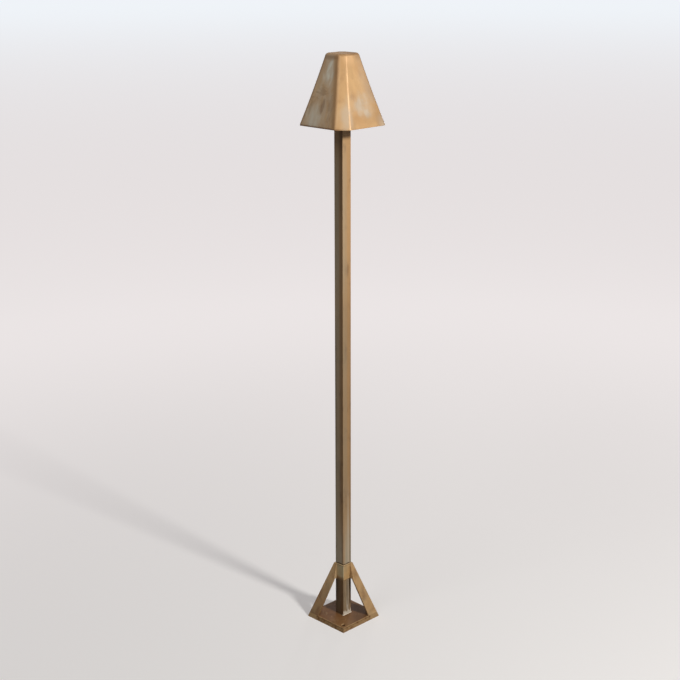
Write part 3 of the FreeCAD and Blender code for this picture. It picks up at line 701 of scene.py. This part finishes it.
# %% [markdown]
# ## Fittings under the shade
# What the shade hides is machined brass, steel, ceramic, glass and rubber. Turned and milled
# pieces carry fine tool lines. Their noise is read only along the radius from the light's axis and
# along the height, which draws it out into lines round that axis.

# %% Machined metals
def machined(name, metal, dark, roughness, lines=900):
    """Bare metal with fine turning lines and a few darker stains."""
    material, shader, place = new_finish(name, {})
    x, y, z = axes(place)
    square = x * x + y * y
    radius = square.math("SQRT", square)
    along_tool = place.node("ShaderNodeCombineXYZ", {}, {0: radius, 2: z})
    tool = noise(along_tool, lines, 2)
    stain = rise(noise(place, 130, 5), 0.5, 0.75)
    colour = mix(stain * 0.6 + (tool - 0.5) * 0.3, metal, dark)
    feed(shader, colour, roughness + (tool - 0.5) * 0.16 + stain * 0.12, 0.9 - stain * 0.25,
         tool, 0.00006, 0.3)
    keep(name, material)


machined("inner_brass", tone(196, 160, 96), tone(140, 106, 60), 0.36)
machined("thumb_brass", tone(206, 168, 98), tone(146, 110, 62), 0.3)
machined("screw_steel", tone(186, 186, 182), tone(120, 116, 110), 0.3)
machined("yoke_steel", tone(170, 168, 164), tone(112, 106, 100), 0.4, 600)
machined("pin_steel", tone(206, 206, 204), tone(150, 148, 144), 0.22)

# %% [markdown]
# ### Ceramic, rubber and plastic
# Ceramic, rubber and plastic are all fired or moulded from a mass with fine flecks in it. They can
# share one function, with their own size of grain and depth of relief. Only the ceramic has a thin
# glaze.

# %% Ceramic, rubber and plastic
def speckled(name, body, fleck, roughness, scale, depth, coat=0.0):
    """A matt body with fine flecks and a soft grain."""
    material, shader, place = new_finish(name, {"Coat Weight": coat})
    grain = noise(place, scale, 4)
    flecks = rise(noise(place, scale * 0.4, 2, (1, 1, 1), (2, 2, 2)), 0.6, 0.72)
    cloud = noise(place, 60, 3)
    feed(shader, mix(flecks * 0.5 + cloud * 0.25, body, fleck),
         roughness + (grain - 0.5) * 0.15, None, grain, depth, 0.4)
    keep(name, material)


speckled("white_ceramic", tone(232, 228, 216), tone(206, 198, 180), 0.5, 900, 0.00008, 0.2)
speckled("black_rubber", tone(36, 36, 35), tone(58, 57, 54), 0.72, 1500, 0.00012)
speckled("lead_insulation", tone(44, 44, 46), tone(62, 62, 62), 0.5, 700, 0.00005)
speckled("splice_plastic", tone(150, 152, 158), tone(120, 122, 128), 0.45, 700, 0.00005)

# %% [markdown]
# ### Glass
# The cover is clear glass with faint smears, and the lamp is frosted, so that it scatters its
# light. Both let light through a Principled shader; the frosted one does so only in part.

# %% Clear and frosted glass
def glass(name, tint, roughness, cloudy, weight):
    """Glass whose roughness varies with faint smears."""
    material, shader, place = new_finish(name, {"Transmission Weight": weight, "IOR": 1.47})
    smear = rise(noise(place, 90, 4, (1, 1, 0.35)), 0.45, 0.75)
    feed(shader, mix(smear * 0.4, tint, cloudy), roughness + smear * 0.06, None,
         noise(place, 180, 2), 0.00004, 0.15)
    keep(name, material)


glass("clear_glass", tone(246, 250, 248), 0.02, tone(228, 236, 232), 1.0)
glass("frosted_glass", tone(246, 243, 234), 0.42, tone(232, 226, 212), 0.55)
print("finishes:", len(finishes))

# %% [markdown]
# ## Dressing the model
# The packed record names a slot for every node, and the finishes have the same names. So one loop
# can dress the whole model. The pieces made below get theirs as they are made.

# %% Put the finishes on the model
for entry in frame["record"]["subparts"]:
    nodes[entry["node"]].material_slots[0].material = finishes[entry["material_slot"]]

# %% [markdown]
# ## Surfaces from arrays
# Each new piece is a grid of points: rings along a profile, and points round each ring. Whole
# arrays give the points, and the faces join neighbours in the grid. Most pieces are closed by a fan
# at both ends; a piece that runs round in a loop joins its last ring to its first.

# %% Faces of a grid
def grid_faces(rows, columns, looped):
    """The corners of each cell of a grid; columns close up, and rows too where the grid is looped."""
    i, j = np.meshgrid(np.arange(rows if looped else rows - 1), np.arange(columns), indexing="ij")
    here, ahead = i * columns, (i + 1) % rows * columns
    after = (j + 1) % columns
    return np.stack([here + j, here + after, ahead + after, ahead + j], -1).reshape(-1, 4)


def end_fans(rows, columns):
    """Triangles from the first and last ring to two middles, which follow the grid's points."""
    j = np.arange(columns)
    after = (j + 1) % columns
    last = (rows - 1) * columns
    middle = np.full(columns, rows * columns)
    return np.concatenate([np.stack([middle, after, j], -1),
                           np.stack([middle + 1, last + j, last + after], -1)])


print("faces in a grid of 3 by 4:", [len(grid_faces(3, 4, looped)) for looped in (False, True)])

# %% [markdown]
# ### From grid to piece
# Glass bends light the wrong way if its faces look inward, so the faces are turned by the sign of
# the volume that they enclose. The piece is then attached to the body it rides on and given its
# finish, and the node of the packed model that it stands for is hidden.

# %% A piece from rings of points
def look_outward(points, quads, fans):
    """True if the faces of a closed mesh look outward: the sum of a . (b x c) over its triangles is
    six times the volume inside, and it is negative if they look inward."""
    corners = np.concatenate([quads[:, [0, 1, 2]], quads[:, [0, 2, 3]], fans])
    a, b, c = (points[corners[:, k]] for k in range(3))
    return np.einsum("ij,ij->i", a, np.cross(b, c)).sum() > 0


def skin(name, rings, finish, body, replaced, sharp=0.6, looped=False):
    """A closed piece from rings[i, j], point j of ring i, which rides on a body in place of a node.

    Each ring joins the next; the ends join each other if looped, or else a fan closes each of them.
    """
    rows, columns, _ = rings.shape
    points = rings.reshape(-1, 3)
    quads, fans = grid_faces(rows, columns, looped), np.empty((0, 3), int)
    if not looped:
        points = np.concatenate([points, rings[:1].mean(1), rings[-1:].mean(1)])
        fans = end_fans(rows, columns)
    turn = slice(None) if look_outward(points, quads, fans) else slice(None, None, -1)
    faces = [face[turn] for face in quads.tolist() + fans.tolist()]
    mesh = bpy.data.meshes.new(name)
    mesh.from_pydata(points.tolist(), [], faces)
    mesh.shade_smooth()
    mesh.set_sharp_from_angle(angle=sharp)
    mesh.materials.append(finishes[finish])
    piece = bpy.data.objects.new(name, mesh)
    bpy.context.scene.collection.objects.link(piece)
    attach(piece, body)
    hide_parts(replaced)
    print(name, "faces:", len(faces))


# %% [markdown]
# ## Profiles
# Glass, lamp and boss are turned shapes: a radius and a height for each step along the profile,
# carried round the axis. Rounded edges are arcs in that profile.

# %% Turned shapes and arcs
def turned(profile, columns):
    """Rings of a surface of revolution about Z from a profile of (radius, height) rows."""
    angle = np.linspace(0, 2 * np.pi, columns, endpoint=False)
    radius, height = profile[:, :1], profile[:, 1:]
    return np.stack([radius * np.cos(angle), radius * np.sin(angle), height + 0 * angle], -1)


def arc(centre, radius, start, end, steps):
    """(radius, height) rows along an arc, angles in degrees from the outward direction."""
    sweep = np.radians(np.linspace(start, end, steps))
    return np.stack([centre[0] + radius * np.cos(sweep), centre[1] + radius * np.sin(sweep)], -1)


print("a quarter arc ends at", arc((0, 0), 1, 0, 90, 5)[-1].round(3))

# %% [markdown]
# ### Shade
# A casting has no sharp edge: the facets run into each other, the crown is rounded over, and the
# sides draw in a little where the metal has shrunk. A ring of it is an eight-sided outline with
# round corners. A power mean of the eight sides gives that in one formula, with no corner to fit.

# %% Outline of the shade
CORNER_ROUND, CORNER_POWER = 0.0035, 8.4
SHADE_COLUMNS = 384
shade_turn = np.linspace(0, 2 * np.pi, SHADE_COLUMNS, endpoint=False)


def eight_sided(flat, facet):
    """Reach at each angle: the reaches of the eight sides joined by a power mean.

    A higher power leaves a tighter corner, so the power grows with the size of the ring.
    """
    facing = np.clip(np.cos(shade_turn[:, None] - np.arange(8) * np.pi / 4), 0, None)
    sides = np.stack([facet, flat] * 4, -1)
    power = CORNER_POWER * flat / CORNER_ROUND
    nearness = facing[None] * (flat[:, None] / sides)[:, None, :]
    return flat[:, None] * (nearness ** power[:, None, None]).sum(-1) ** (-1 / power[:, None])


rim_reach = eight_sided(np.array([FLAT_RIM]), np.array([FACET_RIM]))
print("reach at the rim from", rim_reach.min().round(4), "to", rim_reach.max().round(4))

# %% [markdown]
# ### Profile of the shade
# The rings follow one profile: out over the crown, down the side, round the rim, up the inside and
# round the boss that takes the thumb screw. So the hollow shade is a single closed skin, with its
# wall and its bore.

# %% Shade
CROWN_ROUND, RIM_ROUND = 0.0043, 0.0006
SHADE_WALL, SHADE_ROOF = 0.0024, 0.003
BOSS, BOSS_LENGTH, BOSS_EDGE = 0.008, 0.013, 0.0005
BORE, BORE_DEPTH, BORE_EDGE = 0.00323, 0.0102, 0.0004


def shade_rings():
    """Rings along the wall: the height above the rim gives the sides' reach, less a shallow bow and
    the profile's own step in from the outside."""
    inside_top = SHADE_HEIGHT - SHADE_ROOF
    profile = np.concatenate([
        [[-FLAT_TOP * share, SHADE_HEIGHT] for share in (0.95, 0.7, 0.4)],
        arc((-CROWN_ROUND, SHADE_HEIGHT - CROWN_ROUND), CROWN_ROUND, 90, 0, 9),
        np.linspace([0, SHADE_HEIGHT - CROWN_ROUND], [0, RIM_ROUND], 16)[1:-1],
        arc((-RIM_ROUND, RIM_ROUND), RIM_ROUND, 0, -90, 5),
        arc((RIM_ROUND - SHADE_WALL, RIM_ROUND), RIM_ROUND, -90, -180, 5),
        np.linspace([-SHADE_WALL, RIM_ROUND], [-SHADE_WALL, inside_top], 16)[1:]])
    step, height = profile.T
    up = height / SHADE_HEIGHT
    inward = 4 * BOW * up * (1 - up) - step
    reach = eight_sided(FLAT_RIM - (FLAT_RIM - FLAT_TOP) * up - inward,
                        FACET_RIM - (FACET_RIM - FACET_TOP) * up - inward)
    return np.stack([reach * np.cos(shade_turn), reach * np.sin(shade_turn),
                     RIM_Z + height[:, None] + 0 * reach], -1)


roof_z = RIM_Z + SHADE_HEIGHT - SHADE_ROOF
boss_z = roof_z - BOSS_LENGTH
boss = np.array([[BOSS, roof_z], [BOSS, boss_z + BOSS_EDGE], [BOSS - BOSS_EDGE, boss_z],
                 [BORE + BORE_EDGE, boss_z], [BORE, boss_z + BORE_EDGE], [BORE, boss_z + BORE_DEPTH]])
skin("shade_shell", np.concatenate([shade_rings(), turned(boss, SHADE_COLUMNS)]), "shade_bronze",
     "shade", "shade")

# %% [markdown]
# ### Glass cover
# The cover is a closed tube with a domed shoulder and a fire-polished lip. Its profile runs from
# the middle of the crown down the outside, round the lip and up the inside to the crown again.

# %% Glass cover
low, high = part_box("lamp_glass")
GLASS_RADIUS, GLASS_WALL, GLASS_SHOULDER = high.x, 0.002, 0.008
bend = (GLASS_RADIUS - GLASS_SHOULDER, high.z - GLASS_SHOULDER)
outside = arc(bend, GLASS_SHOULDER, 90, 0, 14)
lip = arc((GLASS_RADIUS - GLASS_WALL / 2, low.z + GLASS_WALL / 2), GLASS_WALL / 2, 0, -180, 9)
inside = arc(bend, GLASS_SHOULDER - GLASS_WALL, 0, 90, 12)
skin("glass_cover", turned(np.concatenate([outside, lip, inside]), 64), "clear_glass", "glass",
     "lamp_glass")

# %% [markdown]
# ### Lamp capsule
# The capsule is a short frosted tube with a round crown. It narrows a little where it meets its
# base, because the tube is pressed there while it is hot.

# %% Lamp capsule
low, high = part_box("lamp_capsule")
LAMP_RADIUS, NECK_LENGTH, NECK_SHARE = high.x, 0.008, 0.8
CROWN_SHARE = 0.9
pressed = np.linspace(0, 1, 12)[:, None]
swelling = NECK_SHARE + (1 - NECK_SHARE) * np.sin(pressed * np.pi / 2)
neck = np.concatenate([LAMP_RADIUS * swelling, low.z + NECK_LENGTH * pressed], 1)
crown_round = LAMP_RADIUS * CROWN_SHARE
crown = arc((LAMP_RADIUS - crown_round, high.z - crown_round), crown_round, 0, 90, 14)
skin("lamp_bulb", turned(np.concatenate([neck, crown]), 48), "frosted_glass", "lamp",
     "lamp_capsule")

# %% [markdown]
# ### Thumb screw
# The screw has a fluted head and a thread. Both can be written as a change of radius: the flutes
# follow the angle alone, and the thread follows the angle and the height together, one pitch for
# each turn, which is what makes it a helix.

# %% Thumb screw
low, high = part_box("shade_screw")
HEAD, HEAD_FACE, HEAD_THICK, HEAD_EDGE, HEAD_STEP = 0.008, 0.005, 0.006, 0.0008, 0.0008
FLUTES, FLUTE_DEPTH, FLUTE_START, FLUTE_FADE = 12, 0.00075, 0.006, 0.0015
SHANK, PITCH, THREAD_DEPTH, TIP_LENGTH = 0.003175, 0.00127, 0.00042, 0.001
SCREW_COLUMNS = 192
angle = np.linspace(0, 2 * np.pi, SCREW_COLUMNS, endpoint=False)[None, :]


def head_rings():
    """Radius = profile minus a rounded dip at each flute, which fades out towards the axis."""
    profile = np.concatenate([
        [[HEAD_FACE, low.z], [HEAD - HEAD_EDGE, low.z]],
        arc((HEAD - HEAD_EDGE, low.z + HEAD_EDGE), HEAD_EDGE, -90, 0, 5)[1:],
        arc((HEAD - HEAD_EDGE, low.z + HEAD_THICK - HEAD_EDGE), HEAD_EDGE, 0, 90, 5),
        [[SHANK + HEAD_STEP, low.z + HEAD_THICK]]])
    dip = FLUTE_DEPTH * np.clip(np.cos(FLUTES * angle), 0, 1) ** 0.7
    full = np.clip((profile[:, :1] - FLUTE_START) / FLUTE_FADE, 0, 1)
    return profile[:, :1] - dip * full, profile[:, 1:] + 0 * angle


def shank_rings():
    """Radius = shank minus a triangle wave of (height / pitch - angle / turn), less at the tip."""
    height = np.linspace(low.z + HEAD_THICK, high.z, 130)[:, None]
    phase = (height / PITCH - angle / (2 * np.pi)) % 1.0
    cut = THREAD_DEPTH * np.abs(2 * phase - 1)
    tip = np.clip((high.z - height) / TIP_LENGTH, 0.35, 1)
    return (SHANK - cut) * (0.8 + 0.2 * tip), height + 0 * angle


radius, height = (np.concatenate(pair) for pair in zip(head_rings(), shank_rings()))
skin("thumb_screw", np.stack([radius * np.cos(angle), radius * np.sin(angle), height], -1),
     "thumb_brass", "thumb_screw", "shade_screw", 0.7)

# %% [markdown]
# ### Braze at the foot
# The stem is brazed to the plate, and the filler has run into a small uneven fillet. It is a
# section carried along a square path with round corners: both close on themselves, and slow waves
# along the path make the fillet swell and shrink.

# %% Braze at the foot
BRAZE_GAP, BRAZE_REACH, BRAZE_EDGE, BRAZE_CLIMB = 0.00005, 0.0009, 0.0002, 0.0032
PATH_STEPS, SECTION_STEPS, PATH_POWER = 240, 12, 14.0


def braze_rings(foot):
    """Sections along the path, each a hollow curve from the plate up to the stem.

    Path: reach = (|cos|^p + |sin|^p)^(-1/p), a square with round corners, turned corner-on.
    Swell: one plus two sine waves of the angle, which scales the section's reach and climb.
    """
    along = np.linspace(0, 2 * np.pi, PATH_STEPS, endpoint=False)[:, None]
    inner = STEM_HALF + BRAZE_GAP
    across, ahead = np.abs(np.cos(along)), np.abs(np.sin(along))
    spread = (across ** PATH_POWER + ahead ** PATH_POWER) ** (-1 / PATH_POWER)
    path = inner * spread * np.concatenate([np.cos(along), np.sin(along)], 1)
    swell = 1 + 0.16 * np.sin(7 * along + 1) + 0.1 * np.sin(17 * along + 2)
    bend = np.linspace(0, np.pi / 2, SECTION_STEPS)
    reach = np.concatenate([[0.0], BRAZE_REACH * (1 - np.sin(bend)) ** 1.3 + BRAZE_EDGE])
    climb = np.concatenate([[0.0], BRAZE_CLIMB * (1 - np.cos(bend)) ** 1.3])
    outward = 1 + reach[None, :] * swell / inner
    corner_on = np.array([[ROOT_HALF, ROOT_HALF], [-ROOT_HALF, ROOT_HALF]])
    level = foot + climb[None, :, None] * np.clip(swell, 0, 1.1)[:, :, None]
    return np.concatenate([path[:, None, :] * outward[:, :, None] @ corner_on, level], -1)


skin("braze_fillet", braze_rings(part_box("foot_ring")[0].z), "braze", "base", "foot_ring", 0.9, True)

# %% [markdown]
# ## Studio floor
# The light stands on a plain pale floor. The floor adds a little glow of its own, and is paler,
# where the camera, a reflection or glass looks at it, so that the background stays bright without
# more light on the metal. From below it is clear, so that the underside can be looked at.

# %% Floor
FLOOR_HALF = 40.0
corners = FLOOR_HALF * np.array([[-1, -1, 0], [1, -1, 0], [1, 1, 0], [-1, 1, 0]])
mesh = bpy.data.meshes.new("studio_floor")
mesh.from_pydata(corners.tolist(), [], [(0, 1, 2, 3)])
floor = bpy.data.objects.new("studio_floor", mesh)
bpy.context.scene.collection.objects.link(floor)
print("floor across in m:", 2 * FLOOR_HALF)

# %% [markdown]
# ### Floor finish
# Just in front of the light the floor glows least. With the distance it grows paler and then
# cooler, as a sheet of studio paper does where it curves up. The distance from one point is enough
# for that, and it leaves no edge.

# %% Floor finish
FLOOR_DIM, FLOOR_PALE = (0.28, 0.277, 0.274, 1), (0.62, 0.61, 0.60, 1)
GLOW_NEAR, GLOW_MIDDLE = (0.215, 0.204, 0.198, 1), (0.69, 0.648, 0.648, 1)
GLOW_FAR = (0.79, 0.825, 0.865, 1)
GLOW_CENTRE = (0.1, -0.7, 0)


def seen(tree):
    """1 for rays from the camera, a reflection or glass, 0 for rays that only carry light."""
    ray = tree.nodes.new("ShaderNodeLightPath")
    kinds = ("Is Camera Ray", "Is Glossy Ray", "Is Transmission Ray")
    return most(*(Field(ray.outputs[kind]) for kind in kinds))


material, shader, place = new_finish("studio_floor", {"Roughness": 1.0, "Specular IOR Level": 0.0})
tree = material.node_tree
sight = seen(tree)
pale = mix(sight, FLOOR_DIM, FLOOR_PALE)
tree.links.new(pale.socket, shader.inputs["Base Color"])
away = distance(place, GLOW_CENTRE)
glow_tone = mix(rise(away, 0.0, 3.0), GLOW_NEAR, GLOW_MIDDLE)
glow_tone = mix(rise(away, 2.9, 20.0), glow_tone, GLOW_FAR)
glow = glow_tone.node("ShaderNodeEmission", {}, {"Color": glow_tone, "Strength": sight})
lit = glow.node("ShaderNodeAddShader", {}, {0: Field(shader.outputs[0]), 1: glow})
under = Field(tree.nodes.new("ShaderNodeNewGeometry").outputs["Backfacing"])
clear = under.node("ShaderNodeBsdfTransparent", {}, {})
shown = under.node("ShaderNodeMixShader", {}, {0: under, 1: lit, 2: clear})
tree.links.new(shown.socket, tree.nodes["Material Output"].inputs["Surface"])
floor.data.materials.append(material)
print("floor shader nodes:", len(tree.nodes))

# %% [markdown]
# ## World and lamps
# One small lamp from the front right gives the bright and dark sides their contrast and a clear
# shadow. A broad weak one from the front left opens up the dark sides, and a faint narrow one
# lights the back. The world lights the scene dimly, but looks pale to the camera and in reflections.

# %% World and lamps
WORLD_DIM, WORLD_PALE = (0.118, 0.118, 0.121, 1), (0.863, 0.897, 0.938, 1)
world = bpy.data.worlds.new("studio")
world.use_nodes = True
bpy.context.scene.world = world
background = world.node_tree.nodes["Background"]
world_tone = mix(seen(world.node_tree), WORLD_DIM, WORLD_PALE)
world.node_tree.links.new(world_tone.socket, background.inputs["Color"])


def hang_lamp(name, place, target, size, watts, colour, beam=180):
    """A round area lamp at a place, turned to a target, its beam narrowed to an angle in degrees."""
    lamp = bpy.data.lights.new(name, "AREA")
    lamp.shape = "DISK"
    lamp.size = size
    lamp.energy = watts
    lamp.color = colour
    lamp.spread = np.radians(beam)
    hung = bpy.data.objects.new(name, lamp)
    hung.location = place
    hung.rotation_mode = "QUATERNION"
    hung.rotation_quaternion = (Vector(place) - Vector(target)).to_track_quat("Z", "Y")
    bpy.context.scene.collection.objects.link(hung)
    print(name, "at", place)


hang_lamp("key", place=(1.13, -1.13, 1.6), target=(0, 0, 0.7), size=0.24, watts=34.0,
          colour=(1.0, 0.985, 0.96))
hang_lamp("fill", place=(-0.85, -0.85, 1.95), target=(0, 0, 0.85), size=0.8, watts=6.6,
          colour=(0.96, 0.98, 1.0))
hang_lamp("back", place=(0.5, 2.4, 0.5), target=(0, 0, 0.55), size=0.5, watts=1.0,
          colour=(1.0, 0.99, 0.98), beam=44)

# %% [markdown]
# ## Camera
# The camera looks down a little from in front, far enough away that the stem hardly narrows. Its
# place and lens come from matching the corners of the base and the shade.

# %% Camera
FOCAL_PIXELS, FRAME_PIXELS = 1388.3, 680
CAMERA_PLACE = (0, -2.3145, 1.2395)
LOOK_DOWN, LOOK_LEFT, LEAN = 16.94, 0.124, -0.15
camera = bpy.data.cameras.new("camera")
camera.lens = camera.sensor_width * FOCAL_PIXELS / FRAME_PIXELS
eye = bpy.data.objects.new("camera", camera)
pitch, yaw, roll = np.radians([90 - LOOK_DOWN, LOOK_LEFT, LEAN])
eye.matrix_world = (Matrix.Translation(CAMERA_PLACE) @ Matrix.Rotation(yaw, 4, "Z")
                    @ Matrix.Rotation(pitch, 4, "X") @ Matrix.Rotation(roll, 4, "Z"))
bpy.context.scene.collection.objects.link(eye)
bpy.context.scene.camera = eye
bpy.context.scene.view_settings.view_transform = "Standard"
print("lens in mm:", round(camera.lens, 2))

# %% [markdown]
# ## End
